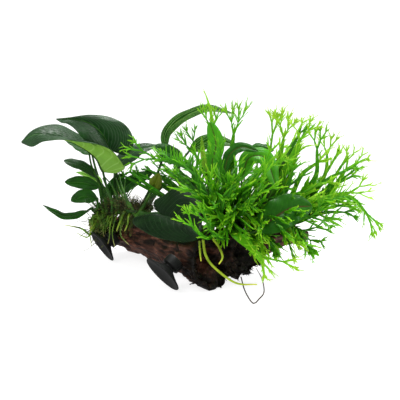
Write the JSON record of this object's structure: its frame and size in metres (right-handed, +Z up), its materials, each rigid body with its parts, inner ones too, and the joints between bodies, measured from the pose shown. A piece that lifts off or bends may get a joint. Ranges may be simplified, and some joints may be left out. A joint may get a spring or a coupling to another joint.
{
  "type": "java fern and anubias on driftwood",
  "caption": "Aquarium plant on wood: broad-leaved anubias and finely forked lace java fern rooted on a piece of driftwood that carries rubber suction cups.",
  "frame": {"origin": "on the resting surface, under the centre of the whole piece's box", "axes": "+Z up; +X to the right as seen in the picture, from the anubias end to the fern end; +Y away from the camera"},
  "size_m": [0.3354, 0.1984, 0.1657],
  "materials": {
    "driftwood": "wet dark brown bark, rough and fibrous",
    "black_rubber": "satin moulded rubber",
    "roots": "matte yellow-green to brown root skin",
    "rhizome": "satin green creeping stem",
    "anubias_leaf": "glossy leathery leaf with feathered side veins",
    "fern_leaf": "bright thin leaf, satin, darker along the midrib"
  },
  "bodies": {
    "root": {"anubias_rhizome": "rhizome", "driftwood_branch": "driftwood", "driftwood_log": "driftwood", "fern_leaf_bent": "fern_leaf", "fern_leaf_broad": "fern_leaf", "fern_leaf_large": "fern_leaf", "fern_leaf_low": "fern_leaf", "fern_leaf_narrow": "fern_leaf", "fern_leaf_round": "fern_leaf", "fern_leaf_upright": "fern_leaf", "fern_rhizome": "rhizome", "frond_01": "fern_leaf", "frond_02": "fern_leaf", "frond_03": "fern_leaf", "frond_04": "fern_leaf", "frond_05": "fern_leaf", "frond_06": "fern_leaf", "frond_07": "fern_leaf", "frond_08": "fern_leaf", "frond_09": "fern_leaf", "frond_10": "fern_leaf", "frond_11": "fern_leaf", "frond_12": "fern_leaf", "frond_13": "fern_leaf", "frond_14": "fern_leaf", "frond_15": "fern_leaf", "frond_16": "fern_leaf", "frond_17": "fern_leaf", "frond_18": "fern_leaf", "frond_19": "fern_leaf", "frond_20": "fern_leaf", "frond_21": "fern_leaf", "frond_22": "fern_leaf", "frond_23": "fern_leaf", "frond_24": "fern_leaf", "frond_25": "fern_leaf", "frond_26": "fern_leaf", "frond_27": "fern_leaf", "hanging_root_curved": "roots", "hanging_root_long": "roots", "hanging_root_short": "roots", "leaf_arching": "anubias_leaf", "leaf_back_left": "anubias_leaf", "leaf_behind_fern": "anubias_leaf", "leaf_behind_top": "anubias_leaf", "leaf_far_left": "anubias_leaf", "leaf_front": "anubias_leaf", "leaf_left_folded": "anubias_leaf", "leaf_left_level": "anubias_leaf", "leaf_left_lower": "anubias_leaf", "leaf_left_round": "anubias_leaf", "leaf_left_small": "anubias_leaf", "leaf_middle": "anubias_leaf", "leaf_top": "anubias_leaf", "leaf_young": "anubias_leaf", "loose_root_loop": "roots", "suction_cup_far": "black_rubber", "suction_cup_near": "black_rubber"}
  },
  "joints": []
}
